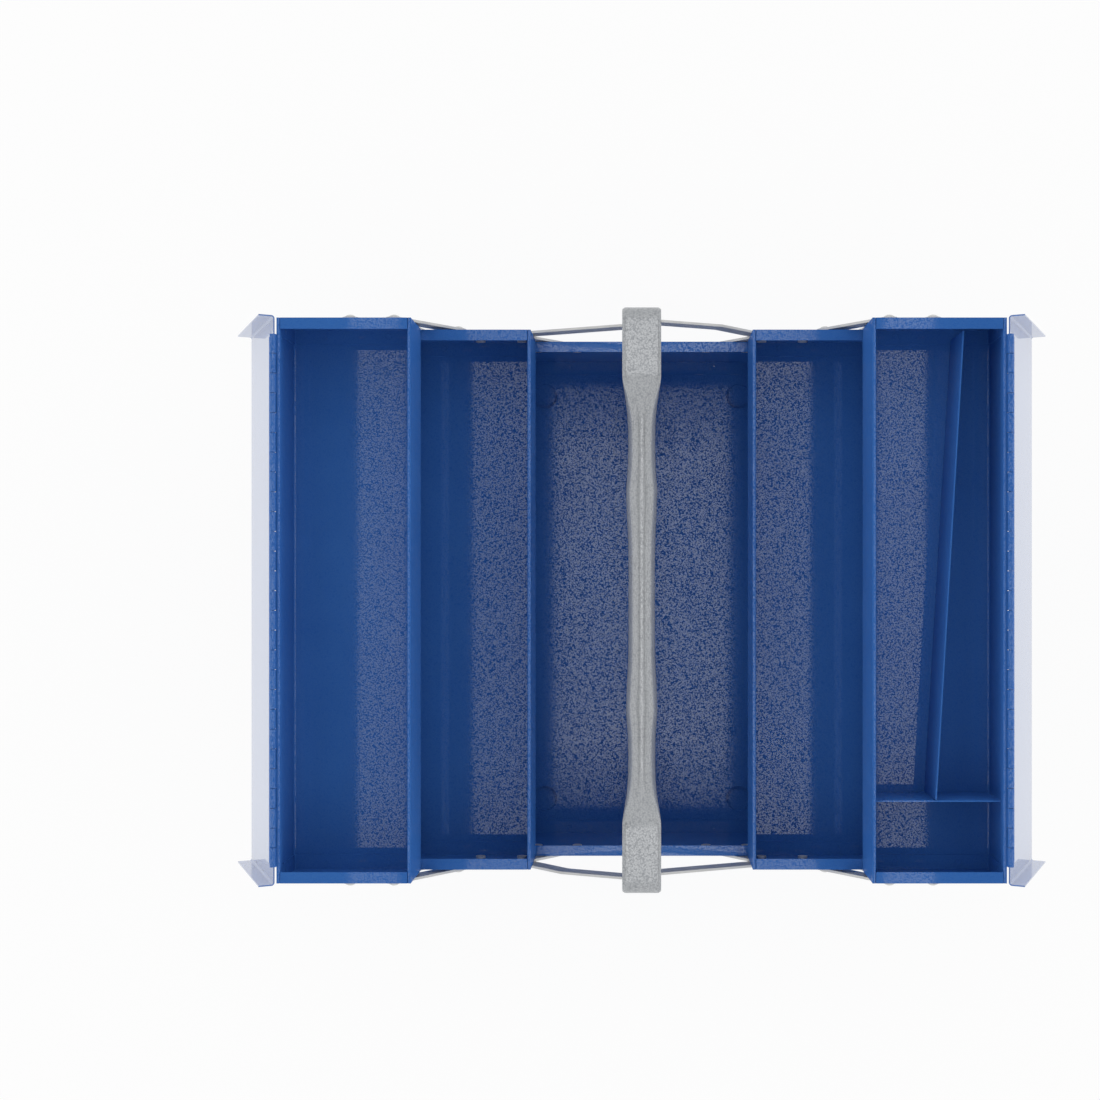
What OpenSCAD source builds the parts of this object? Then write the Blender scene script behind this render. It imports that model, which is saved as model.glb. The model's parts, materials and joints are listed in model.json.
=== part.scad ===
// Cantilever tool box: a deep base, two mid trays and two lidded top trays on parallel links.
// X runs across the box, Y along it, Z up. The origin is on the floor, under the middle.
// It is drawn fully open: links leaning outwards, lids hanging, handle low.

/* [Box] */
// Length of the base and of every tray
box_len = 430; // [360:5:520]
// Height of the base, from the floor to its rim
base_h = 105; // [95:1:130]
// Thickness of the sheet steel
sheet = 1; // [0.8:0.1:1.2]
// Outer radius of the folded bottom edges
fold_r = 2.5; // [2.2:0.1:4]

/* [Trays] */
// Width of one tray
tray_w = 102; // [96:1:120]
// Height of a mid tray
mid_h = 54.6; // [50:0.1:70]
// Height of a top tray
top_h = 49.6; // [46:0.1:70]
// Running gap between a tray and the rim below it
stack_gap = 0.4; // [0.3:0.05:1]
// Half of the gap between the two closed trays
centre_gap = 1.5; // [1:0.1:3]

/* [Sheet work] */
// Thickness of the rolled hem on the long walls
hem_t = 2.7; // [2.4:0.1:3.6]
// Height of the rolled hem
hem_h = 7; // [5:0.5:10]
// Width of the flanges that lap the floor and walls at each end
lap_w = 12.5; // [10:0.5:20]
// Width of the rim that is folded in at each end
rim_w = 8.5; // [6:0.5:12]
// Fit between an end plate and its channel
seam = 0.03; // [0.02:0.01:0.1]

/* [Feet] */
// Outer diameter of a stamped foot
foot_d = 24; // [18:1:30]
// Height of a stamped foot
foot_h = 2.5; // [1.5:0.5:5]
// Distance from a foot to the side wall
foot_side = 15.5; // [15.5:0.5:30]
// Distance from a foot to the end wall
foot_end = 32; // [28:1:60]

/* [Links] */
// Distance between the pivots of a short link
link_len = 65; // [62:1:67]
// Lean of the short links from upright when the box is open
link_lean = 42; // [40:1:44]
// Width of a short link
link_w = 13; // [11:0.5:13]
// Width of a long handle link
long_w = 14; // [11:0.5:14]
// Thickness of a link
link_t = 2; // [1.5:0.1:2]
// Gap between a link and what it lies against
link_gap = 0.4; // [0.3:0.05:0.5]
// Distance between two links of a pair
link_pitch = 34; // [33:0.5:34]
// Depth of the base pivots below the rim
base_pivot_drop = 35; // [33:0.5:36]
// Distance from the middle of the box to the inner base pivots
base_pivot_x = 55.5; // [55:0.5:57]
// Distance from a mid tray's inner wall to its first upper pivot
mid_pivot_x = 60.4; // [60:0.1:60.5]
// Height of a mid tray's upper pivots over its bottom
mid_pivot_z = 31.6; // [30:0.1:34]

/* [Rivets] */
// Diameter of a rivet's shank
rivet_d = 5; // [4:0.1:6]
// Diameter of a rivet's domed head
rivet_head_d = 10; // [8:0.5:10]
// Height of a rivet's domed head
rivet_head_h = 2.4; // [1:0.1:2.6]
// Diameter of the tail inside the wall
rivet_tail_d = 8; // [7:0.5:10]
// Thickness of the tail
rivet_tail_h = 1.6; // [1:0.1:2.5]
// Diameter of the washer that holds a top link off the wall
washer_d = 10; // [8:0.5:11]
// Thickness of that washer
washer_t = 2; // [1.5:0.1:2]
// Radial running clearance of a link on its rivet
pivot_play = 0.06; // [0.04:0.01:0.1]

/* [Handle] */
// Height of the handle pivots over the mid trays' lower pivots
handle_pivot_rise = 39.7; // [38:0.1:42]
// Height of the bar over the handle pivots
bar_rise = 42; // [41:1:60]
// Diameter of the round bar
bar_d = 20; // [16:0.5:22]
// Width of the flattened ends
flat_w = 30; // [24:1:32]
// Thickness of the flattened ends
flat_t = 3; // [2.5:0.5:5]
// Length of a flat between the leg and the crease
flat_len = 44; // [40:1:70]
// Length of the change from round to flat
taper_len = 27; // [20:1:40]
// Inner radius of the bend into the leg
bend_r = 7; // [2:0.5:9]
// Distance along a long link at which its step begins
step_start = 9; // [8:1:12]
// Length of the step in a long link
step_len = 30; // [16:1:32]
// Gap between the two long links at the handle
long_spread = 1.4; // [0.3:0.1:2]

/* [Lids] */
// Swing of a lid from closed to open
lid_swing = 245; // [238:1:250]
// Depth of a lid's end skirts
skirt_h = 12; // [9:0.5:13]
// Gap between a skirt and the end wall
skirt_gap = 1.2; // [1:0.1:1.4]
// Distance from a tray's inner face to the lid's front edge
lid_setback = 1.5; // [1:0.1:2]
// Width of the flat hem along a lid's front edge
lid_hem_w = 9; // [6:0.5:14]

/* [Piano hinge] */
// Length of one knuckle and its gap
knuckle_pitch = 15; // [12:1:20]
// Least distance from the hinge to the end of the tray
hinge_inset = 12; // [8:1:20]
// Outer diameter of the knuckles
knuckle_d = 4.8; // [4.4:0.1:5.4]
// Diameter of the hinge pin
hinge_pin_d = 2; // [1.6:0.1:2.4]
// Gap between neighbouring knuckles
knuckle_gap = 0.4; // [0.3:0.05:0.8]
// Width of a hinge leaf
leaf_w = 13; // [10:0.5:16]
// Gap between the barrel and the tray's wall
barrel_gap = 0.2; // [0.2:0.05:0.4]

/* [Dividers] */
// Height of the loose divider plates
divider_h = 42; // [36:1:42]
// Distance from the near end wall to the cross divider
cross_from_end = 61; // [50:1:90]
// Distance of the long divider from the outer wall at its far end
long_far_inset = 31; // [20:1:44]
// Distance of the long divider from the outer wall at its near end
long_near_inset = 52; // [46:1:70]
// Gap between a divider and the walls
divider_gap = 0.5; // [0.3:0.1:1]

/* [Hidden] */
$fn = 48;
cut = 1;

paint = [0.16, 0.30, 0.52];
zinc = [0.78, 0.79, 0.78];
silver = [0.62, 0.64, 0.66];

// The closed trays cover the base, so its width follows theirs.
base_w = 2 * (tray_w + centre_gap);
half_len = box_len / 2;
link_x = link_len * sin(link_lean);
link_z = link_len * cos(link_lean);

// Inner walls of the open trays, and the bottoms of both.
mid_x = centre_gap + 2 * link_x;
top_x = centre_gap + 4 * link_x;
mid_z = base_h + stack_gap;
top_z = mid_z + mid_h + stack_gap;
top_rim = top_z + top_h;
top_outer = top_x + tray_w;

// Pivots, as [x, z] on the right side: each inner one, its partner a pitch further out.
base_pivot = [base_pivot_x, base_h - base_pivot_drop];
mid_low_pivot = [base_pivot[0] + link_x, base_pivot[1] + link_z];
mid_high_pivot = [mid_x + mid_pivot_x, mid_z + mid_pivot_z];
top_pivot = [mid_high_pivot[0] + link_x, mid_high_pivot[1] + link_z];
handle_pivot = [0, mid_low_pivot[1] + handle_pivot_rise];

// Layers along Y, from the end wall outwards.
link_y = half_len + link_gap;
long_y = link_y + link_t + link_gap / 2;
head_y = link_y + link_t + pivot_play;
top_link_y = link_y + washer_t;
top_head_y = head_y + washer_t;
outer_y = long_y + link_t + long_spread;
leg_y = outer_y + link_t + 0.75 * link_gap;
long_head_y = long_y + link_t + pivot_play;
long_len = norm(handle_pivot - mid_low_pivot);
long_turn = atan2(handle_pivot_rise, -mid_low_pivot[0]);
shank_r = rivet_d / 2;
bar_z = handle_pivot[1] + bar_rise;

// The hinge axis lies outside the top tray's outer wall, level with the lid leaf.
knuckle_r = knuckle_d / 2;
hinge_x = top_outer + barrel_gap + knuckle_r;
lid_under = top_rim + stack_gap;
hinge_z = lid_under + 0.2;
skirt_y = half_len + skirt_gap;
lid_front = top_x + lid_setback;
// An odd number of knuckles, so that both ends of the hinge belong to the tray.
knuckles = 2 * floor((box_len / 2 - hinge_inset) / knuckle_pitch - 0.5) + 1;
hinge_len = knuckles * knuckle_pitch;

module left() mirror([1, 0, 0]) children();
module near() mirror([0, 1, 0]) children();
module both_ends() {
  children();
  near() children();
}

// Turns a shape's own Z to +Y, so that it starts at y and its own X stays along X.
module facing_out(x, y, z) translate([x, y, z]) rotate([-90, 0, 0]) children();

// A box outline, rounded at its two lower corners.
module folded_outline(w, h, r) {
  translate([r, 0]) square([w - 2 * r, h]);
  translate([0, r]) square([w, h - r]);
  for (x = [r, w - r]) translate([x, r]) circle(r);
}

// Extrudes an X-Z outline along Y, with its middle at y = 0.
module along_y(length) rotate([90, 0, 0]) linear_extrude(height = length, center = true) children();

// ---- sheet metal ----

// Floor and two long walls in one folded sheet, hemmed along the top.
module channel(w, h) {
  along_y(box_len) difference() {
    folded_outline(w, h, fold_r);
    translate([sheet, sheet]) folded_outline(w - 2 * sheet, h, fold_r - sheet);
  }
  along_y(box_len) for (x = [0, w - hem_t]) {
    translate([x, h - hem_h]) square([hem_t, hem_h - hem_t / 2]);
    translate([x + hem_t / 2, h - hem_t / 2]) circle(hem_t / 2);
  }
}

// End plate of the far end, with its laps and folded rim, bored for the rivets at holes.
// Its top corners are notched for the hems, and the rim lies between them.
module end_plate(w, h, holes) {
  gap = sheet + seam;
  notch_w = hem_t + seam;
  inner_w = w - 2 * gap;
  corner = fold_r - gap;
  lap_corner = corner - sheet / 2;
  difference() {
    union() {
      translate([gap, half_len - sheet / 2, gap]) along_y(sheet)
        folded_outline(inner_w, h - gap, corner);
      translate([gap, half_len - lap_w / 2, gap]) along_y(lap_w) difference() {
        folded_outline(inner_w, h - gap - hem_h - sheet, corner);
        translate([sheet, sheet]) folded_outline(inner_w - 2 * sheet, h, lap_corner);
      }
      translate([gap, half_len - rim_w, h - sheet]) cube([inner_w, rim_w, sheet]);
    }
    for (p = holes) facing_out(p[0], half_len - sheet - cut, p[1])
      cylinder(r = shank_r + seam, h = sheet + 2 * cut);
    for (x = [0, w - notch_w]) translate([x, half_len - lap_w - cut, h - hem_h - seam])
      cube([notch_w, lap_w + 2 * cut, hem_h + 2 * seam]);
  }
}

module foot_cup() difference() {
  cylinder(d = foot_d, h = foot_h + sheet);
  translate([0, 0, sheet]) cylinder(d = foot_d - 2 * sheet, h = foot_h + sheet);
}

module feet_places() for (x = [-1, 1], y = [-1, 1])
  translate([x * (base_w / 2 - foot_side), y * (half_len - foot_end), 0]) children();

module base_channel() color(paint) {
  difference() {
    translate([-base_w / 2, 0, foot_h]) channel(base_w, base_h - foot_h);
    feet_places() cylinder(d = foot_d - 2 * sheet, h = foot_h + 2 * sheet);
  }
  feet_places() foot_cup();
}

function pair(p) = [p, [p[0] + link_pitch, p[1]]];
function mirrored(p) = [-p[0], p[1]];
function moved(points, x, z) = [for (p = points) [p[0] - x, p[1] - z]];

base_holes = [for (p = pair(base_pivot), q = [p, mirrored(p)]) q];
mid_holes = concat(pair(mid_low_pivot), pair(mid_high_pivot));
top_holes = pair(top_pivot);

module base_end() color(paint) translate([-base_w / 2, 0, foot_h])
  end_plate(base_w, base_h - foot_h, moved(base_holes, -base_w / 2, foot_h));

module mid_channel() color(paint) translate([mid_x, 0, mid_z]) channel(tray_w, mid_h);

module mid_end() color(paint) translate([mid_x, 0, mid_z])
  end_plate(tray_w, mid_h, moved(mid_holes, mid_x, mid_z));

module top_channel() color(paint) translate([top_x, 0, top_z]) channel(tray_w, top_h);

module top_end() color(paint) translate([top_x, 0, top_z])
  end_plate(tray_w, top_h, moved(top_holes, top_x, top_z));

// ---- rivets ----

// Domed head: the cap of a sphere, flat side on z = 0.
module rivet_head() {
  ball_r = (pow(rivet_head_d / 2, 2) + pow(rivet_head_h, 2)) / (2 * rivet_head_h);
  intersection() {
    translate([0, 0, rivet_head_h - ball_r]) sphere(ball_r);
    cylinder(d = rivet_head_d, h = rivet_head_h);
  }
}

// Washer of the far end at p, upset from the rivet's own shank.
module washer(p) facing_out(p[0], half_len + seam, p[1]) cylinder(d = washer_d, h = washer_t);

// Rivet of the far end at p: tail inside the wall, shank through it, head on the link.
module rivet(p, head_at) {
  tail_y = half_len - sheet - seam;
  facing_out(p[0], tail_y - rivet_tail_h, p[1]) cylinder(d = rivet_tail_d, h = rivet_tail_h);
  facing_out(p[0], tail_y - rivet_tail_h / 2, p[1])
    cylinder(r = shank_r, h = head_at - tail_y + rivet_tail_h / 2 + rivet_head_h / 2);
  facing_out(p[0], head_at, p[1]) rivet_head();
}

module base_rivets() color(zinc) both_ends() for (p = base_holes) rivet(p, head_y);

// The innermost lower rivet carries a short link and a long one.
module mid_rivets() color(zinc) both_ends() {
  rivet(mid_low_pivot, long_head_y);
  rivet(pair(mid_low_pivot)[1], head_y);
  for (p = pair(mid_high_pivot)) top_link_rivet(p);
}

module top_rivets() color(zinc) both_ends() for (p = top_holes) top_link_rivet(p);

module top_link_rivet(p) {
  washer(p);
  rivet(p, top_head_y);
}

// ---- links ----

module bar_outline(length, width) {
  translate([0, -width / 2]) square([length, width]);
  circle(d = width);
  translate([length, 0]) circle(d = width);
}

module short_link(p, y) color(zinc) both_ends() facing_out(p[0], y, p[1])
  rotate([0, 0, link_lean - 90]) difference() {
    linear_extrude(height = link_t) bar_outline(link_len, link_w);
    for (x = [0, link_len]) translate([x, 0, -cut])
      cylinder(r = shank_r + pivot_play, h = link_t + 2 * cut);
  }

module inner_base_links() short_link(base_pivot, link_y);
module outer_base_links() short_link(pair(base_pivot)[1], link_y);
module inner_top_links() short_link(mid_high_pivot, top_link_y);
module outer_top_links() short_link(pair(mid_high_pivot)[1], top_link_y);

// Long link of the far end, stepped out from the short link's layer to the layer at y.
module long_link(y, bored) {
  step = y - long_y;
  step_end = step_start + step_len;
  past = long_len + long_w;
  side = [[-long_w, 0], [step_start, 0], [step_end, step], [past, step]];
  back = [for (i = [3:-1:0]) [side[i][0], side[i][1] + link_t]];
  facing_out(mid_low_pivot[0], long_y, mid_low_pivot[1]) rotate([0, 0, -long_turn]) difference() {
    intersection() {
      along_y(2 * long_w) polygon(concat(side, back));
      translate([0, 0, -cut]) linear_extrude(height = step + link_t + 2 * cut)
        bar_outline(long_len, long_w);
    }
    translate([0, 0, -cut]) cylinder(r = shank_r + pivot_play, h = link_t + 2 * cut);
    if (bored) translate([long_len, 0, step - cut])
      cylinder(r = shank_r + pivot_play, h = link_t + 2 * cut);
  }
}

// The far link of the pair passes outside its partner, and the near one inside it.
module handle_links(bored) color(zinc) {
  long_link(outer_y, bored);
  near() {
    long_link(long_y, false);
    facing_out(handle_pivot[0], long_y - rivet_tail_h, handle_pivot[1])
      cylinder(d = rivet_tail_d, h = rivet_tail_h + link_t / 2);
  }
}

// ---- handle ----

module flat_end() {
  flat_end_y = leg_y - bend_r;
  flat_start_y = flat_end_y - flat_len;
  under = bar_z - flat_t / 2;
  difference() {
    union() {
      hull() {
        facing_out(0, flat_start_y - taper_len - cut, bar_z) cylinder(d = bar_d, h = cut, $fn = 32);
        translate([-flat_w / 2, flat_start_y, under]) cube([flat_w, cut, flat_t]);
      }
      translate([-flat_w / 2, flat_start_y, under]) cube([flat_w, flat_len, flat_t]);
      translate([-flat_w / 2, flat_end_y, under - bend_r]) intersection() {
        rotate([0, 90, 0]) difference() {
          cylinder(r = bend_r + flat_t, h = flat_w);
          translate([0, 0, -cut]) cylinder(r = bend_r, h = flat_w + 2 * cut);
        }
        cube([flat_w, bend_r + flat_t, bend_r + flat_t]);
      }
      translate([-flat_w / 2, leg_y, handle_pivot[1]])
        cube([flat_w, flat_t, under - bend_r - handle_pivot[1]]);
      facing_out(0, leg_y, handle_pivot[1]) cylinder(d = flat_w, h = flat_t);
    }
    facing_out(0, leg_y - cut, handle_pivot[1]) cylinder(r = shank_r + seam, h = flat_t + 2 * cut);
  }
}

module handle() color(silver) {
  round_half = leg_y - bend_r - flat_len - taper_len;
  both_ends() flat_end();
  facing_out(0, -round_half, bar_z) cylinder(d = bar_d, h = 2 * round_half);
}

// The near rivet holds the left long link, and the far one ends in its leg.
module handle_rivets() color(zinc) {
  head_at = leg_y + flat_t + pivot_play;
  both_ends() facing_out(0, head_at, handle_pivot[1]) rivet_head();
  facing_out(0, leg_y, handle_pivot[1])
    cylinder(r = shank_r, h = head_at - leg_y + rivet_head_h / 2);
  near() facing_out(0, outer_y, handle_pivot[1])
    cylinder(r = shank_r, h = head_at - outer_y + rivet_head_h / 2);
}

// ---- lids and hinges ----

// Swings a closed lid's pieces out about the hinge axis.
module swung_open() translate([hinge_x, 0, hinge_z]) rotate([0, lid_swing, 0])
  translate([-hinge_x, 0, -hinge_z]) children();

// Barrel pieces and their tabs: the even knuckles belong to the tray, the odd ones to the lid.
module leaf_knuckles(first, tab) for (i = [first:2:knuckles - 1]) {
  long = knuckle_pitch - knuckle_gap;
  start = -hinge_len / 2 + i * knuckle_pitch + knuckle_gap / 2;
  facing_out(hinge_x, start, hinge_z) cylinder(r = knuckle_r, h = long);
  translate([tab[0], start, tab[1]]) cube([tab[2], long, tab[3]]);
}

module hinge_bore() facing_out(hinge_x, -hinge_len / 2 - cut, hinge_z)
  cylinder(r = hinge_pin_d / 2 + pivot_play, h = hinge_len + 2 * cut);

// Leaf on the outside of the tray's wall.
module hinge_tray_leaf() color(paint) difference() {
  plate_top = hinge_z - knuckle_r - knuckle_gap;
  union() {
    translate([top_outer, -hinge_len / 2, top_rim - leaf_w])
      cube([sheet, hinge_len, plate_top - top_rim + leaf_w]);
    leaf_knuckles(0, [top_outer, plate_top - cut, sheet, top_rim - plate_top + cut]);
  }
  hinge_bore();
}

// Leaf under the lid's plate.
module hinge_lid_leaf() color(paint) swung_open() difference() {
  plate_end = hinge_x - knuckle_r - knuckle_gap;
  union() {
    translate([top_outer - leaf_w, -hinge_len / 2, lid_under])
      cube([plate_end - top_outer + leaf_w, hinge_len, sheet]);
    leaf_knuckles(1, [plate_end - cut, lid_under, hinge_x - knuckle_r / 2 - plate_end, sheet]);
  }
  hinge_bore();
}

module hinge_pin() color(zinc) facing_out(hinge_x, -hinge_len / 2, hinge_z)
  cylinder(d = hinge_pin_d, h = hinge_len);

// Top plate with a skirt at each end, its front edge folded back on top in a flat hem.
module lid() color(paint) swung_open() {
  plate_z = lid_under + sheet;
  wide = 2 * (skirt_y + sheet);
  reach = top_outer - lid_front;
  translate([top_outer, 0, plate_z + sheet]) rotate([0, 0, 90]) mirror([0, 0, 1])
    translate([-wide / 2, 0, 0]) rotate([90, 0, 0]) translate([0, 0, -reach])
      linear_extrude(height = reach) difference() {
        folded_outline(wide, skirt_h, fold_r);
        translate([sheet, sheet]) folded_outline(wide - 2 * sheet, skirt_h, fold_r - sheet);
      }
  hem_len = wide - 2 * fold_r;
  translate([lid_front, -hem_len / 2, plate_z + sheet / 2]) cube([lid_hem_w, hem_len, 1.5 * sheet]);
}

// ---- dividers ----

divider_z = top_z + sheet + divider_gap;
inner_face = top_x + hem_t + divider_gap;
outer_face = top_outer - hem_t - divider_gap;
cross_y = cross_from_end - half_len;
long_far = [top_outer - long_far_inset, half_len - rim_w - divider_gap];
long_near = [top_outer - long_near_inset, cross_y + sheet + divider_gap];

module cross_divider() color(paint) translate([inner_face, cross_y, divider_z])
  cube([outer_face - inner_face, sheet, divider_h]);

module long_divider() color(paint) {
  run = long_far - long_near;
  translate([long_near[0], long_near[1], divider_z]) rotate([0, 0, atan2(run[1], run[0])])
    cube([norm(run), sheet, divider_h]);
}

base_channel();
base_end();  // base_far_end
near() base_end();  // base_near_end
base_rivets();
left() mid_channel();  // left_mid_channel
left() mid_end();  // left_mid_far_end
left() near() mid_end();  // left_mid_near_end
left() mid_rivets();  // left_mid_rivets
mid_channel();  // right_mid_channel
mid_end();  // right_mid_far_end
near() mid_end();  // right_mid_near_end
mid_rivets();  // right_mid_rivets
left() top_channel();  // left_top_channel
left() top_end();  // left_top_far_end
left() near() top_end();  // left_top_near_end
left() top_rivets();  // left_top_rivets
top_channel();  // right_top_channel
top_end();  // right_top_far_end
near() top_end();  // right_top_near_end
top_rivets();  // right_top_rivets
left() inner_base_links();  // left_inner_base_links
left() outer_base_links();  // left_outer_base_links
left() inner_top_links();  // left_inner_top_links
left() outer_top_links();  // left_outer_top_links
inner_base_links();  // right_inner_base_links
outer_base_links();  // right_outer_base_links
inner_top_links();  // right_inner_top_links
outer_top_links();  // right_outer_top_links
rotate([0, 0, 180]) handle_links(true);  // left_handle_links
handle_links(false);  // right_handle_links
handle();
handle_rivets();
left() hinge_tray_leaf();  // left_hinge_tray_leaf
left() hinge_lid_leaf();  // left_hinge_lid_leaf
left() hinge_pin();  // left_hinge_pin
left() lid();  // left_lid
hinge_tray_leaf();  // right_hinge_tray_leaf
hinge_lid_leaf();  // right_hinge_lid_leaf
hinge_pin();  // right_hinge_pin
lid();  // right_lid
cross_divider();
long_divider();
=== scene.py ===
# %% [markdown]
# # A cantilever tool box, dressed for its portrait
# The steel work of the box, its links, rivets and hinges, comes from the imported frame.
# This lesson adds what a maker would add next: the enamel, the zinc plate, the pressed
# handle, the spot welds, and a camera hung straight above the open box.

# %% Load the frame
import json
import math

import bpy
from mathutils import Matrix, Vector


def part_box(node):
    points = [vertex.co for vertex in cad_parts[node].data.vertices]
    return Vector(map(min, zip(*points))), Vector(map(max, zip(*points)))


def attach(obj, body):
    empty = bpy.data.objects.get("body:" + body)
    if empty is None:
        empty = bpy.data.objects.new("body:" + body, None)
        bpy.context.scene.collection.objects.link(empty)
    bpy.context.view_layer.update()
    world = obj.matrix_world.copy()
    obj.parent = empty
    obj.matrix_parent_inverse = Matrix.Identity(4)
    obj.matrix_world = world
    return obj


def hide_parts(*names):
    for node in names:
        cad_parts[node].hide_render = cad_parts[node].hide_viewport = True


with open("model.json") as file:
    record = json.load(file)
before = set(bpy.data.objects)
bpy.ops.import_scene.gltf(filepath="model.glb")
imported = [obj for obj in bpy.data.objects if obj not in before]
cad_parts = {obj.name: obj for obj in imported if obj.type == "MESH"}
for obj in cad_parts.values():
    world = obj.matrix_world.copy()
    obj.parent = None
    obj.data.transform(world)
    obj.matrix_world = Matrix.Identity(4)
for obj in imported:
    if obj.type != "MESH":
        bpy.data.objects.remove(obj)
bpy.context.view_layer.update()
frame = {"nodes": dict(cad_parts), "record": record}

# %% [markdown]
# ## The camera
# The photograph was taken from straight overhead, a little over a metre above the top
# rims. The rims shrink from the top trays to the base, which gives the distance. The lens
# axis meets the floor to the right of the picture's middle, so the lens is shifted.

# %% Hang the camera
PHOTO_SIDE = 1100
FOCAL_PX = 1369.0
FOOT_OF_AXIS_PX = (641.7, 581.4)
RIM_TO_LENS = 1.040
AXIS_Y = 0.0145

rim_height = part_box("left_top_channel")[1][2]
lens_height = rim_height + RIM_TO_LENS
bpy.ops.object.camera_add(location=(0, AXIS_Y, lens_height), rotation=(0, 0, 0))
camera = bpy.context.object
camera.data.sensor_width = 36.0
camera.data.lens = 36.0 * FOCAL_PX / PHOTO_SIDE
camera.data.shift_x = (PHOTO_SIDE / 2 - FOOT_OF_AXIS_PX[0]) / PHOTO_SIDE
camera.data.shift_y = (FOOT_OF_AXIS_PX[1] - PHOTO_SIDE / 2) / PHOTO_SIDE
bpy.context.scene.camera = camera
bpy.context.scene.view_settings.view_transform = "Standard"
print("lens", round(camera.data.lens, 1), "mm, height", round(lens_height, 3), "m")

# %% [markdown]
# ## Small helpers
# An operator acts on everything that is selected, and the frame arrives selected. So each
# piece starts by letting go of the rest, and picks its own points in code, by their place.

# %% Selecting by place
def alone(piece):
    bpy.ops.object.select_all(action="DESELECT")
    piece.select_set(True)
    bpy.context.view_layer.objects.active = piece


def settle(piece, name):
    """Puts the piece's place into its mesh, so that its object sits at the origin."""
    alone(piece)
    bpy.ops.object.transform_apply(location=True, rotation=True, scale=True)
    piece.name = name
    piece.data.name = name
    return piece


def pick(piece, test, kind="VERT"):
    """Selects the points or faces that pass a test, and stays in edit mode."""
    bpy.ops.object.mode_set(mode="EDIT")
    bpy.ops.mesh.select_mode(type=kind)
    bpy.ops.mesh.select_all(action="DESELECT")
    bpy.ops.object.mode_set(mode="OBJECT")
    things = piece.data.vertices if kind == "VERT" else piece.data.polygons
    for thing in things:
        thing.select = bool(test(thing))
    bpy.ops.object.mode_set(mode="EDIT")


def apply_modifier(piece, kind, **settings):
    alone(piece)
    modifier = piece.modifiers.new(kind.title(), kind)
    for key, value in settings.items():
        setattr(modifier, key, value)
    bpy.ops.object.modifier_apply(modifier=modifier.name)


def linear(red, green, blue):
    """A screen colour, 0 to 255, as the linear values that a shader takes."""
    channels = []
    for value in (red, green, blue):
        part = value / 255
        channels.append(part / 12.92 if part <= 0.04045 else ((part + 0.055) / 1.055) ** 2.4)
    return (*channels, 1.0)


print("helpers ready")

# %% [markdown]
# ## The hammered coat
# Hammered enamel draws up into small round pools as it dries, and catches the light like
# fine pebbled skin. Each paint uses the same group: smooth cells for the pools, a finer
# noise to break their edges, and a slow noise that makes some patches thicker than others.

# %% Build the hammered coat once
def add_socket(group, name, kind, way, value=None):
    socket = group.interface.new_socket(name=name, in_out=way, socket_type=kind)
    if value is not None:
        socket.default_value = value
    return socket


def new_node(tree, kind, x, y, **settings):
    node = tree.nodes.new(kind)
    node.location = (x, y)
    for key, value in settings.items():
        setattr(node, key, value)
    return node


def hammered_group():
    group = bpy.data.node_groups.new("hammered coat", "ShaderNodeTree")
    add_socket(group, "Place", "NodeSocketVector", "INPUT")
    add_socket(group, "Pools per metre", "NodeSocketFloat", "INPUT", 600.0)
    add_socket(group, "Grain", "NodeSocketFloat", "INPUT", 0.35)
    add_socket(group, "Height", "NodeSocketFloat", "OUTPUT")
    add_socket(group, "Pool", "NodeSocketFloat", "OUTPUT")
    add_socket(group, "Patch", "NodeSocketFloat", "OUTPUT")
    start = new_node(group, "NodeGroupInput", -900, 0)
    end = new_node(group, "NodeGroupOutput", 500, 0)
    cells = new_node(group, "ShaderNodeTexVoronoi", -500, 200, feature="SMOOTH_F1")
    cells.inputs["Smoothness"].default_value = 0.6
    cells.inputs["Randomness"].default_value = 1.0
    finer = new_node(group, "ShaderNodeMath", -700, -120, operation="MULTIPLY")
    finer.inputs[1].default_value = 2.3
    grain = new_node(group, "ShaderNodeTexNoise", -500, -120)
    grain.inputs["Detail"].default_value = 2.0
    grain.inputs["Roughness"].default_value = 0.6
    patch = new_node(group, "ShaderNodeTexNoise", -500, -420)
    patch.inputs["Scale"].default_value = 16.0
    patch.inputs["Detail"].default_value = 3.0
    invert = new_node(group, "ShaderNodeMath", -250, 200, operation="SUBTRACT")
    invert.inputs[0].default_value = 1.0
    blend = new_node(group, "ShaderNodeMix", 200, 60, data_type="FLOAT")
    link = group.links.new
    for texture in (cells, grain, patch):
        link(start.outputs["Place"], texture.inputs["Vector"])
    link(start.outputs["Pools per metre"], cells.inputs["Scale"])
    link(start.outputs["Pools per metre"], finer.inputs[0])
    link(finer.outputs[0], grain.inputs["Scale"])
    link(cells.outputs["Distance"], invert.inputs[1])
    link(start.outputs["Grain"], blend.inputs["Factor"])
    link(invert.outputs[0], blend.inputs["A"])
    link(grain.outputs["Fac"], blend.inputs["B"])
    link(blend.outputs["Result"], end.inputs["Height"])
    link(invert.outputs[0], end.inputs["Pool"])
    link(patch.outputs["Fac"], end.inputs["Patch"])
    return group


HAMMERED = hammered_group()
print("hammered coat:", len(HAMMERED.nodes), "nodes")

# %% [markdown]
# ## Enamel paints
# The enamel is a coloured coat under its own clear gloss. Its colour is a little paler on
# the pools than between them, and drifts with the slow patches. The clear coat is full on
# the pools and thin between them, so its gloss is broken up into small glints wherever a
# tray floor mirrors something bright. The upright walls look duller than the floors and
# rims in the photograph, so they are given less of it by their facing alone: a painted
# dulling of their reflection, not a trait of the enamel.

# %% Mix the enamels
TINT_RANGE = (0.25, 0.8)
PATCH_SHARE = 0.35
ROUGH_SPREAD = (0.8, 1.25)
GLINT_RANGE = (0.43, 0.58)
# Upright walls keep this share of the gloss: a painted dulling of their reflection.
WALL_SHARE = 0.3
# The share of the gloss kept at the base's ends: a painted fading of its reflection.
ENDS_REFLECTION_SHARE = 0.3
COAT_ROUGH = 0.04


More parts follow.
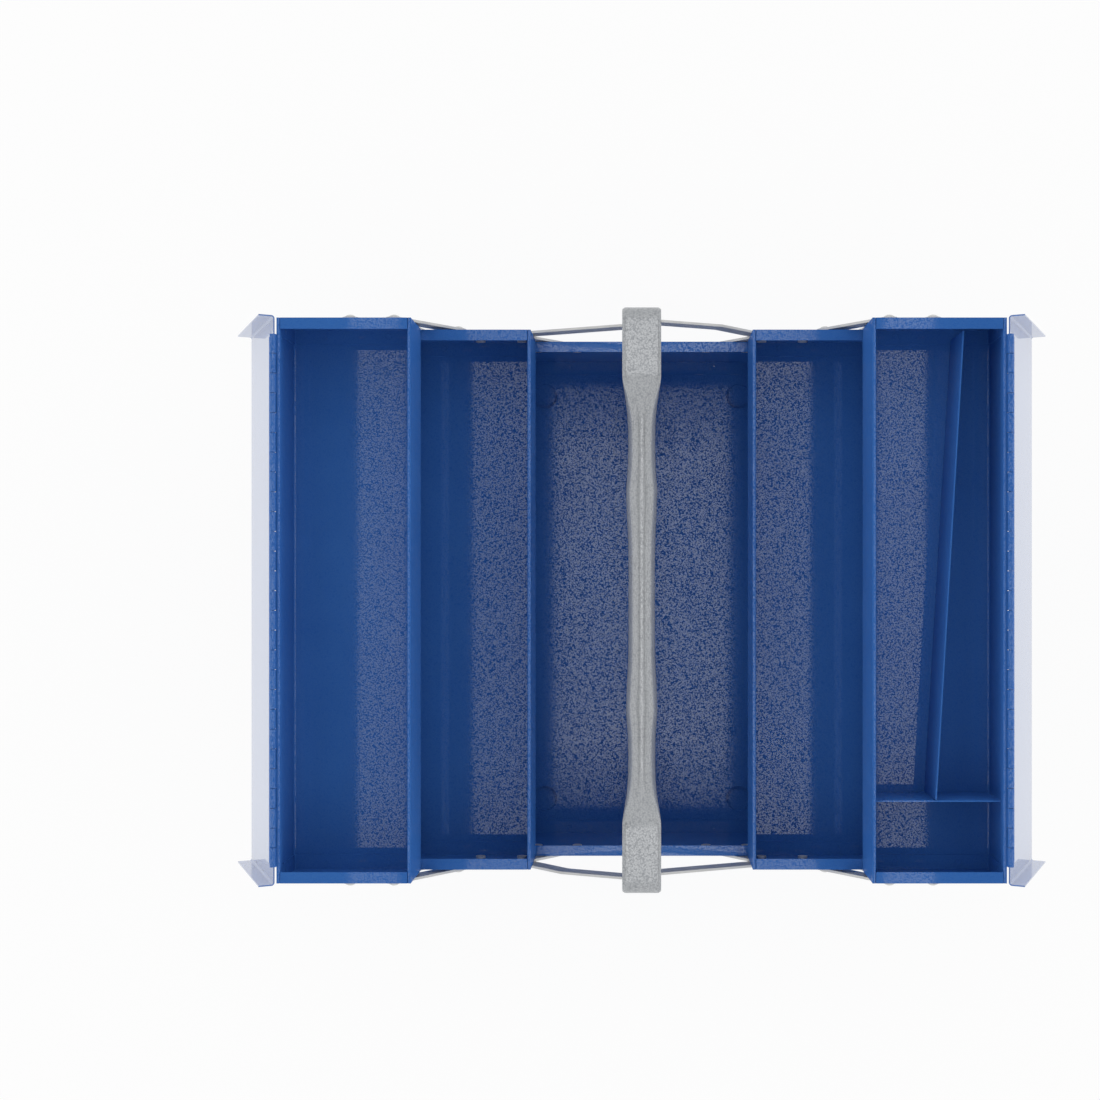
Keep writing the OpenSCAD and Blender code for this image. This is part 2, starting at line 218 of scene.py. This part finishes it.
def enamel(name, deep, pale, pools, bump, rough, shine, ior, under=0.0, metal=0.0,
           walls=WALL_SHARE, coat_rough=COAT_ROUGH, sheen=0.0, fade=None):
    """A hammered enamel. `shine` is the clear coat's weight between pools and on them.

    `walls` is the share of the gloss that upright walls keep, a painted dulling of their
    reflection. `fade` gives the two distances from the middle between which the gloss falls
    to a set share, a painted fading of the reflection towards the ends.
    """
    material = bpy.data.materials.new(name)
    material.use_nodes = True
    tree = material.node_tree
    shader = tree.nodes["Principled BSDF"]
    place = new_node(tree, "ShaderNodeTexCoord", -1100, 0)
    coat_group = new_node(tree, "ShaderNodeGroup", -850, 0, node_tree=HAMMERED)
    coat_group.inputs["Pools per metre"].default_value = pools
    tint = new_node(tree, "ShaderNodeMapRange", -600, 150)
    tint.inputs["From Min"].default_value = TINT_RANGE[0]
    tint.inputs["From Max"].default_value = TINT_RANGE[1]
    mixed = new_node(tree, "ShaderNodeMix", -600, -120, data_type="FLOAT")
    mixed.inputs["Factor"].default_value = PATCH_SHARE
    colour = new_node(tree, "ShaderNodeMix", -350, 200, data_type="RGBA")
    colour.inputs["A"].default_value = deep
    colour.inputs["B"].default_value = pale
    relief = new_node(tree, "ShaderNodeBump", -350, -250)
    relief.inputs["Strength"].default_value = 1.0
    relief.inputs["Distance"].default_value = bump
    gloss = new_node(tree, "ShaderNodeMapRange", -350, -20)
    gloss.inputs["To Min"].default_value = rough * ROUGH_SPREAD[0]
    gloss.inputs["To Max"].default_value = rough * ROUGH_SPREAD[1]
    clear = new_node(tree, "ShaderNodeMapRange", -350, -450)
    clear.inputs["From Min"].default_value = GLINT_RANGE[0]
    clear.inputs["From Max"].default_value = GLINT_RANGE[1]
    clear.inputs["To Min"].default_value = shine[0]
    clear.inputs["To Max"].default_value = shine[1]
    # The gloss is cut on upright faces by their facing: a painted dulling of their
    # reflection.
    facing = new_node(tree, "ShaderNodeSeparateXYZ", -850, -650)
    level = new_node(tree, "ShaderNodeMath", -650, -650, operation="ABSOLUTE")
    wall_dulling = new_node(tree, "ShaderNodeMapRange", -350, -750)
    wall_dulling.inputs["To Min"].default_value = walls
    coat_weight = new_node(tree, "ShaderNodeMath", -120, -500, operation="MULTIPLY")
    link = tree.links.new
    link(place.outputs["Normal"], facing.inputs["Vector"])
    link(facing.outputs["Z"], level.inputs[0])
    link(level.outputs[0], wall_dulling.inputs["Value"])
    link(clear.outputs["Result"], coat_weight.inputs[0])
    link(wall_dulling.outputs["Result"], coat_weight.inputs[1])
    if fade is None:
        link(coat_weight.outputs[0], shader.inputs["Coat Weight"])
    else:
        # The gloss fades with distance from the middle: painted shade on the reflection near
        # the ends.
        along = new_node(tree, "ShaderNodeSeparateXYZ", -850, -900)
        reach = new_node(tree, "ShaderNodeMath", -650, -900, operation="ABSOLUTE")
        painted_end_fade = new_node(tree, "ShaderNodeMapRange", -350, -1000)
        painted_end_fade.inputs["From Min"].default_value = fade[0]
        painted_end_fade.inputs["From Max"].default_value = fade[1]
        painted_end_fade.inputs["To Min"].default_value = 1.0
        painted_end_fade.inputs["To Max"].default_value = ENDS_REFLECTION_SHARE
        faded = new_node(tree, "ShaderNodeMath", 60, -600, operation="MULTIPLY")
        link(place.outputs["Object"], along.inputs["Vector"])
        link(along.outputs["Y"], reach.inputs[0])
        link(reach.outputs[0], painted_end_fade.inputs["Value"])
        link(coat_weight.outputs[0], faded.inputs[0])
        link(painted_end_fade.outputs["Result"], faded.inputs[1])
        link(faded.outputs[0], shader.inputs["Coat Weight"])
    link(place.outputs["Object"], coat_group.inputs["Place"])
    link(coat_group.outputs["Pool"], mixed.inputs["A"])
    link(coat_group.outputs["Patch"], mixed.inputs["B"])
    link(mixed.outputs["Result"], tint.inputs["Value"])
    link(tint.outputs["Result"], colour.inputs["Factor"])
    link(colour.outputs["Result"], shader.inputs["Base Color"])
    link(coat_group.outputs["Patch"], gloss.inputs["Value"])
    link(gloss.outputs["Result"], shader.inputs["Roughness"])
    link(coat_group.outputs["Height"], relief.inputs["Height"])
    link(coat_group.outputs["Height"], clear.inputs["Value"])
    link(relief.outputs["Normal"], shader.inputs["Normal"])
    shader.inputs["Metallic"].default_value = metal
    shader.inputs["Specular IOR Level"].default_value = under
    shader.inputs["IOR"].default_value = ior
    shader.inputs["Coat IOR"].default_value = ior
    shader.inputs["Coat Roughness"].default_value = coat_rough
    shader.inputs["Sheen Weight"].default_value = sheen
    return material


TRAY_COLOURS = (linear(46, 94, 166), linear(60, 110, 180))
TRAY_COAT = {"bump": 0.00002, "rough": 0.4, "shine": (0.0, 1.0), "ior": 1.75}
BLUE = enamel("blue hammered enamel", *TRAY_COLOURS, pools=940.0, **TRAY_COAT)
# The base's reflection is faded towards its ends by place alone: painted shade.
BASE_BLUE = enamel("blue enamel, reflection faded at ends", *TRAY_COLOURS, pools=860.0, **TRAY_COAT,
                   coat_rough=0.14, fade=(0.13, 0.205))
LID_BLUE = enamel("blue gloss enamel", linear(44, 96, 170), linear(58, 112, 184),
                  pools=440.0, bump=0.00001, rough=0.12, shine=(1.0, 1.0), ior=1.6,
                  under=0.5, metal=0.3, walls=1.0, sheen=0.3)
SILVER = enamel("silver hammered enamel", linear(142, 145, 149), linear(174, 177, 180),
                pools=800.0, bump=0.00006, rough=0.3, shine=(0.0, 1.0), ior=1.7,
                under=0.3, metal=0.4)
print("enamels:", ", ".join(paint.name for paint in (BLUE, BASE_BLUE, LID_BLUE, SILVER)))

# %% [markdown]
# ## Zinc plate
# The links and rivets are bright zinc over rolled steel: a pale metal with a faint cloudy
# spangle, and a fine drag from the rolling mill that shows only in the highlights. The
# plate has dulled, so only part of its light is mirrored and the rest is scattered.

# %% Plate the links
ZINC_METAL = 0.55
ZINC_ROUGH = (0.35, 0.55)
SPANGLES = 90.0
DRAG_STRETCH = (60.0, 60.0, 1800.0)
DRAG_DEPTH = 0.00005


def zinc_plate():
    material = bpy.data.materials.new("bright zinc plate")
    material.use_nodes = True
    tree = material.node_tree
    shader = tree.nodes["Principled BSDF"]
    place = new_node(tree, "ShaderNodeTexCoord", -1000, 0)
    cloud = new_node(tree, "ShaderNodeTexNoise", -750, 150)
    cloud.inputs["Scale"].default_value = SPANGLES
    cloud.inputs["Detail"].default_value = 4.0
    drag = new_node(tree, "ShaderNodeMapping", -950, -250)
    drag.inputs["Scale"].default_value = DRAG_STRETCH
    lines = new_node(tree, "ShaderNodeTexNoise", -750, -250)
    lines.inputs["Scale"].default_value = 1.0
    colour = new_node(tree, "ShaderNodeMix", -350, 200, data_type="RGBA")
    colour.inputs["A"].default_value = linear(186, 187, 187)
    colour.inputs["B"].default_value = linear(218, 218, 216)
    gloss = new_node(tree, "ShaderNodeMapRange", -350, 0)
    gloss.inputs["To Min"].default_value = ZINC_ROUGH[0]
    gloss.inputs["To Max"].default_value = ZINC_ROUGH[1]
    relief = new_node(tree, "ShaderNodeBump", -350, -250)
    relief.inputs["Strength"].default_value = 0.25
    relief.inputs["Distance"].default_value = DRAG_DEPTH
    link = tree.links.new
    link(place.outputs["Object"], cloud.inputs["Vector"])
    link(place.outputs["Object"], drag.inputs["Vector"])
    link(drag.outputs["Vector"], lines.inputs["Vector"])
    link(cloud.outputs["Fac"], colour.inputs["Factor"])
    link(cloud.outputs["Fac"], gloss.inputs["Value"])
    link(colour.outputs["Result"], shader.inputs["Base Color"])
    link(gloss.outputs["Result"], shader.inputs["Roughness"])
    link(lines.outputs["Fac"], relief.inputs["Height"])
    link(relief.outputs["Normal"], shader.inputs["Normal"])
    shader.inputs["Metallic"].default_value = ZINC_METAL
    return material


ZINC = zinc_plate()
print("plate:", ZINC.name)

# %% [markdown]
# ## Dressing the frame
# Every node of the frame knows its material slot, so each slot is given one finish. Two
# kinds of node differ from their slot. The lids are sprayed flat and glossier than the
# trays, and mirror the white ground. The base's gloss is faded towards its ends by place
# alone, a painted shade on its reflection there.

# %% Give each slot its finish
FINISHES = {"body_paint": BLUE, "divider_paint": BLUE, "handle_paint": SILVER, "zinc": ZINC}
for part in frame["record"]["subparts"]:
    shell = frame["nodes"][part["node"]]
    shell.data.materials.clear()
    finish = FINISHES[part["material_slot"]]
    if part["node"].endswith("_lid"):
        finish = LID_BLUE
    # The base takes the enamel whose reflection is faded towards its ends, a painted shade.
    if part["node"] == "base_channel":
        finish = BASE_BLUE
    shell.data.materials.append(finish)

# %% [markdown]
# ## The handle
# The real handle is a steel tube. Its ends are pressed flat and bent down into legs, and
# two shallow swellings mark the grip. A ring of points is extruded along the tube and
# resized at each station. The far half is made, then mirrored, as the tube is the same
# both ways.

# %% Stations along the handle
handle_low, handle_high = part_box("handle")
leg_outer = handle_high[1]
FLAT_T = 0.003
BAR_R = 0.010
FLAT_W = handle_high[0] - handle_low[0]
BEND_R = 0.007
CREASE_Y = 0.1722
axis_z = handle_high[2] - BAR_R
# distance from the middle, half width, half height
STATIONS = [
    (0.000, 0.0102, 0.0101), (0.030, 0.0102, 0.0101), (0.044, 0.0104, 0.0102),
    (0.054, 0.0108, 0.0103), (0.062, 0.0113, 0.0102), (0.068, 0.0115, 0.0098),
    (0.076, 0.0117, 0.0095), (0.084, 0.0121, 0.0093), (0.0875, 0.0119, 0.0099),
    (0.094, 0.0113, 0.0104), (0.103, 0.0107, 0.0104), (0.114, 0.0104, 0.0102),
    (0.126, 0.0104, 0.0100), (0.1355, 0.0106, 0.0096), (0.1440, 0.0112, 0.0087),
    (0.1518, 0.0121, 0.0074), (0.160, 0.0134, 0.0054), (0.1665, 0.0146, 0.0034),
    (0.1712, 0.0150, 0.0018), (0.1728, 0.0150, 0.0015), (0.190, 0.0150, 0.0015),
    (0.206, 0.0150, 0.0015),
]
print("stations:", len(STATIONS), "bar axis at", round(axis_z, 4))

# %% [markdown]
# The ring starts at the middle of the bar. `extrude_region_move` carries it to the next
# station, and `resize` about the bar's axis gives it the new width and height.

# %% Draw out the tube
RING = 40
bpy.ops.object.select_all(action="DESELECT")
bpy.ops.mesh.primitive_circle_add(
    vertices=RING, radius=1.0, fill_type="NOTHING", location=(0, 0, axis_z),
    rotation=(math.pi / 2, 0, 0))
tube = settle(bpy.context.object, "handle_tube")
alone(tube)
bpy.ops.object.mode_set(mode="EDIT")
bpy.ops.mesh.select_all(action="SELECT")
reach, half_w, half_h = STATIONS[0]
bpy.ops.transform.resize(value=(half_w, 1, half_h), center_override=(0, 0, axis_z))
for next_reach, next_w, next_h in STATIONS[1:]:
    bpy.ops.mesh.extrude_region_move(
        TRANSFORM_OT_translate={"value": (0, next_reach - reach, 0)})
    bpy.ops.transform.resize(
        value=(next_w / half_w, 1, next_h / half_h), center_override=(0, 0, axis_z))
    reach, half_w, half_h = next_reach, next_w, next_h
bpy.ops.object.mode_set(mode="OBJECT")
print("tube has", len(tube.data.vertices), "points")

# %% [markdown]
# A pressed tube is flat, with tight folds along both edges, where an ellipse would be a
# lens. So each side of the flat is scaled level. Then the last ring is drawn on to the
# bend, spun down about the bend's middle and drawn down into the leg.

# %% Flatten, bend and close the leg
EDGE_W = 0.0008
NEAR = 0.0001


def level_side(sign):
    pick(tube, lambda v: v.co.y > CREASE_Y and abs(v.co.x) < FLAT_W / 2 - EDGE_W
         and sign * (v.co.z - axis_z) > 0)
    bpy.ops.transform.resize(value=(1, 1, 0),
                             center_override=(0, 0, axis_z + sign * FLAT_T / 2))
    bpy.ops.object.mode_set(mode="OBJECT")


level_side(1)
level_side(-1)
bend_y = leg_outer - FLAT_T - BEND_R
bend_z = axis_z - FLAT_T / 2 - BEND_R
last_reach = STATIONS[-1][0]
pick(tube, lambda v: v.co.y > last_reach - NEAR)
bpy.ops.mesh.extrude_region_move(
    TRANSFORM_OT_translate={"value": (0, bend_y - last_reach, 0)})
BEND_STEPS = 8
for step in range(BEND_STEPS):
    bpy.ops.mesh.extrude_region_move(TRANSFORM_OT_translate={"value": (0, 0, 0)})
    bpy.ops.transform.rotate(value=math.pi / 2 / BEND_STEPS, orient_axis="X",
                             center_override=(0, bend_y, bend_z))
bpy.ops.object.mode_set(mode="OBJECT")
print("lowest point after the bend", round(min(v.co.z for v in tube.data.vertices), 4))

# %% [markdown]
# The leg runs straight down to its rivet and ends in a half round. The rings narrow there
# as a half circle does, and the last one is filled. The other half comes from a Mirror
# modifier, welded along the middle ring.

# %% Draw the leg and mirror the handle
FOLD_ANGLE = 50
ROUND_END_ANGLES = (15, 30, 45, 58, 70, 80, 87)
rivets_low, rivets_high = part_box("handle_rivets")
PIVOT_Z = (rivets_low[2] + rivets_high[2]) / 2
leg_mid_y = leg_outer - FLAT_T / 2


def draw_down(drop, narrower):
    bpy.ops.mesh.extrude_region_move(TRANSFORM_OT_translate={"value": (0, 0, -drop)})
    bpy.ops.transform.resize(value=(narrower, 1, 1), center_override=(0, leg_mid_y, 0))


pick(tube, lambda v: v.co.y > bend_y and abs(v.co.z - bend_z) < NEAR / 2)
draw_down((bend_z - PIVOT_Z) / 2, 1.0)
draw_down((bend_z - PIVOT_Z) / 2, 1.0)
width, depth = 1.0, 0.0
for angle in ROUND_END_ANGLES:
    next_depth = math.sin(math.radians(angle)) * FLAT_W / 2
    next_width = math.cos(math.radians(angle))
    draw_down(next_depth - depth, next_width / width)
    width, depth = next_width, next_depth
bpy.ops.mesh.edge_face_add()
bpy.ops.object.mode_set(mode="OBJECT")
apply_modifier(tube, "MIRROR", use_axis=(False, True, False), use_clip=True,
               merge_threshold=2 * NEAR)
pick(tube, lambda v: True)
bpy.ops.mesh.remove_doubles(threshold=NEAR / 5)
bpy.ops.mesh.normals_make_consistent(inside=False)
bpy.ops.object.mode_set(mode="OBJECT")
apply_modifier(tube, "SUBSURF", levels=1, render_levels=1)
alone(tube)
bpy.ops.object.shade_smooth_by_angle(angle=math.radians(FOLD_ANGLE))
tube.data.materials.append(SILVER)
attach(tube, "handle")
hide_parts("handle")
print("handle:", len(tube.data.polygons), "faces")

# %% [markdown]
# ## Spot welds
# The edges of the end plates' laps show in the photograph, but nothing that holds them
# does. Steel trays of this kind are spot-welded through such laps, so faint weld marks are
# added as a guess. The electrode leaves a shallow round pit with a soft rim. One mark is
# shaped from a low cylinder: its top is inset, pushed down and bevelled. Then it is copied
# to each lap.

# %% Shape one weld mark
WELD_R = 0.0026
WELD_H = 0.00035
RIM_SHARE = 0.35
FLOOR_SHARE = 0.3
PIT_SHARE = 0.7
SOFT_SHARE = 0.6
bpy.ops.object.select_all(action="DESELECT")
bpy.ops.mesh.primitive_cylinder_add(vertices=20, radius=WELD_R, depth=WELD_H,
                                    location=(0, 0, WELD_H / 2))
weld = settle(bpy.context.object, "weld_pattern")
pick(weld, lambda f: f.normal.z > 0.9, kind="FACE")
bpy.ops.mesh.inset(thickness=WELD_R * RIM_SHARE)
bpy.ops.transform.translate(value=(0, 0, -WELD_H * PIT_SHARE))
bpy.ops.mesh.inset(thickness=WELD_R * FLOOR_SHARE)
bpy.ops.object.mode_set(mode="OBJECT")
apply_modifier(weld, "BEVEL", width=WELD_H * SOFT_SHARE, segments=2, limit_method="ANGLE")
print("weld mark:", len(weld.data.polygons), "faces")

# %% [markdown]
# A weld sits in the middle of its lap's width. The laps' places come from the end plates'
# own boxes, so the marks follow the frame. `SHEET` is the thickness of the steel, and
# `LAP` the width of a lap. The wall marks start above the floor's bend and end below the
# hem at the rim.

# %% Copy the welds to every lap
SHEET = 0.001
LAP = 0.0125
BEND_RISE = 8 * SHEET
HEM_DROP = 0.016
WELD_ANGLE = 35


def place_weld(spot, turn, done):
    copy = weld.copy()
    copy.data = weld.data.copy()
    bpy.context.collection.objects.link(copy)
    copy.location = spot
    copy.rotation_euler = (0, turn, 0)
    done.append(copy)


def weld_tray(plates, body, name, floor_spots, wall_spots):
    """Welds both end plates of one tray, along the floor laps and up the wall laps."""
    done = []
    for plate in plates:
        low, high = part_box(plate)
        inward = 1 if low[1] > 0 else -1
        inner_edge = low[1] if inward > 0 else high[1]
        lap_y = inner_edge + inward * LAP / 2
        for share in floor_spots:
            x = low[0] + share * (high[0] - low[0])
            place_weld((x, lap_y, low[2] + SHEET), 0.0, done)
        wall_low, wall_high = low[2] + BEND_RISE, high[2] - HEM_DROP
        for share in wall_spots:
            z = wall_low + share * (wall_high - wall_low)
            place_weld((low[0] + SHEET, lap_y, z), math.pi / 2, done)
            place_weld((high[0] - SHEET, lap_y, z), -math.pi / 2, done)
    alone(done[0])
    for copy in done:
        copy.select_set(True)
    bpy.ops.object.join()
    marks = settle(bpy.context.object, name)
    bpy.ops.object.shade_smooth_by_angle(angle=math.radians(WELD_ANGLE))
    marks.data.materials.append(BLUE)
    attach(marks, body)
    return len(done)


total = weld_tray(("base_far_end", "base_near_end"), "base", "base_welds",
                  (0.18, 0.5, 0.82), (0.15, 0.5, 0.85))
for side in ("left", "right"):
    for level in ("mid", "top"):
        plates = [f"{side}_{level}_{end}_end" for end in ("far", "near")]
        total += weld_tray(plates, f"{side}_{level}_tray", f"{side}_{level}_welds",
                           (0.25, 0.75), (0.2, 0.8))
bpy.data.objects.remove(weld, do_unlink=True)
print("placed", total, "weld marks")

# %% [markdown]
# ## The floor
# The photograph has a bare white ground. The floor is a pale matt sheet. Seen by the
# camera, or in a reflection, most of its brightness comes from a white glow of strength 1,
# and the rest from real light, so the box still leaves a soft shadow.

# %% Lay the white floor
GROUND_SIDE = 12
GROUND_Z = -0.0005
PAPER = (0.9, 0.9, 0.9, 1)
GLOW_SHARE = 0.92


def seen_or_mirrored(tree, x, y):
    """Gives 1 for a ray from the camera, a reflection or a pane of glass, and else 0."""
    path = new_node(tree, "ShaderNodeLightPath", x, y)
    mirrored = new_node(tree, "ShaderNodeMath", x + 200, y, operation="MAXIMUM")
    seen = new_node(tree, "ShaderNodeMath", x + 400, y, operation="MAXIMUM")
    tree.links.new(path.outputs["Is Camera Ray"], mirrored.inputs[0])
    tree.links.new(path.outputs["Is Glossy Ray"], mirrored.inputs[1])
    tree.links.new(mirrored.outputs[0], seen.inputs[0])
    tree.links.new(path.outputs["Is Transmission Ray"], seen.inputs[1])
    return seen.outputs[0]


def white_ground():
    material = bpy.data.materials.new("white ground")
    material.use_nodes = True
    tree = material.node_tree
    tree.nodes.clear()
    end = new_node(tree, "ShaderNodeOutputMaterial", 500, 0)
    paper = new_node(tree, "ShaderNodeBsdfDiffuse", -200, -100)
    paper.inputs["Color"].default_value = PAPER
    glow = new_node(tree, "ShaderNodeEmission", -200, 100)
    share = new_node(tree, "ShaderNodeMath", -50, 300, operation="MULTIPLY")
    share.inputs[1].default_value = GLOW_SHARE
    blend = new_node(tree, "ShaderNodeMixShader", 250, 0)
    link = tree.links.new
    link(seen_or_mirrored(tree, -700, 300), share.inputs[0])
    link(share.outputs[0], blend.inputs["Fac"])
    link(paper.outputs[0], blend.inputs[1])
    link(glow.outputs[0], blend.inputs[2])
    link(blend.outputs[0], end.inputs["Surface"])
    return material


bpy.ops.object.select_all(action="DESELECT")
bpy.ops.mesh.primitive_plane_add(size=GROUND_SIDE, location=(0, 0, GROUND_Z))
ground = settle(bpy.context.object, "ground")
ground.data.materials.append(white_ground())
print("ground laid")

# %% [markdown]
# ## Light
# A white tent lights the box, brighter at its sides than overhead, so the tray floors lie
# darker than the rims. Soft panels hang over it, brightest above the base, and brighter on
# the right than on the left. Dark cards leave dark bands in what the floors mirror: there
# the enamel shows its own deep blue, and between the cards it turns pebbled and grey.

# %% Light the tent
SIDE_LIGHT = 1.85
OVERHEAD_LIGHT = 0.4
world = bpy.data.worlds.new("white tent")
bpy.context.scene.world = world
world.use_nodes = True
tree = world.node_tree
background = tree.nodes["Background"]
strength = new_node(tree, "ShaderNodeMapRange", -150, 200)
heading = new_node(tree, "ShaderNodeTexCoord", -700, -100)
split = new_node(tree, "ShaderNodeSeparateXYZ", -500, -100)
tent = new_node(tree, "ShaderNodeMapRange", -320, -50)
tent.inputs["To Min"].default_value = SIDE_LIGHT
tent.inputs["To Max"].default_value = OVERHEAD_LIGHT
strength.inputs["To Max"].default_value = 1.0
tree.links.new(heading.outputs["Generated"], split.inputs["Vector"])
tree.links.new(split.outputs["Z"], tent.inputs["Value"])
tree.links.new(tent.outputs["Result"], strength.inputs["To Min"])
tree.links.new(seen_or_mirrored(tree, -700, 200), strength.inputs["Value"])
tree.links.new(strength.outputs["Result"], background.inputs["Strength"])
background.inputs["Color"].default_value = (1, 1, 1, 1)
print("tent from", SIDE_LIGHT, "at the sides to", OVERHEAD_LIGHT, "overhead")

# %% [markdown]
# The panels and cards hang at one height. A card's edges are where the camera's rays arrive
# after bouncing off the tray floors at the edges of their dark bands.

# %% Hang the panels and the cards
BANK_Z = 2.4
BANK_LENGTH = 1.8
BASE_EDGE = 0.2415
# a card's inner and outer edge, on each side
CARDS = ((0.424, 0.572), (0.690, 1.150))
# a panel's left edge, right edge and watts to each square metre
PANELS = (
    (-CARDS[0][0], -BASE_EDGE, 0.2),
    (-BASE_EDGE, BASE_EDGE, 2.6),
    (BASE_EDGE, CARDS[0][0], 0.9),
    (CARDS[0][1], CARDS[1][0], 0.9),
)
CARD_BLACK = (0.01, 0.01, 0.01, 1)

for left_edge, right_edge, power in PANELS:
    middle = (left_edge + right_edge) / 2
    bpy.ops.object.select_all(action="DESELECT")
    bpy.ops.object.light_add(type="AREA", location=(middle, AXIS_Y, BANK_Z))
    panel = bpy.context.object
    panel.data.shape = "RECTANGLE"
    panel.data.size = right_edge - left_edge
    panel.data.size_y = BANK_LENGTH
    panel.data.energy = power * panel.data.size * BANK_LENGTH

card_cloth = bpy.data.materials.new("black card")
card_cloth.use_nodes = True
card_shader = card_cloth.node_tree.nodes["Principled BSDF"]
card_shader.inputs["Base Color"].default_value = CARD_BLACK
card_shader.inputs["Roughness"].default_value = 1.0
for way in (-1, 1):
    for inner, outer in CARDS:
        middle = way * (inner + outer) / 2
        bpy.ops.object.select_all(action="DESELECT")
        bpy.ops.mesh.primitive_plane_add(size=1, location=(middle, AXIS_Y, BANK_Z))
        card = bpy.context.object
        card.scale = (outer - inner, BANK_LENGTH, 1)
        card = settle(card, "card_left" if way < 0 else "card_right")
        card.data.materials.append(card_cloth)
print("bank hung at", BANK_Z, "m")
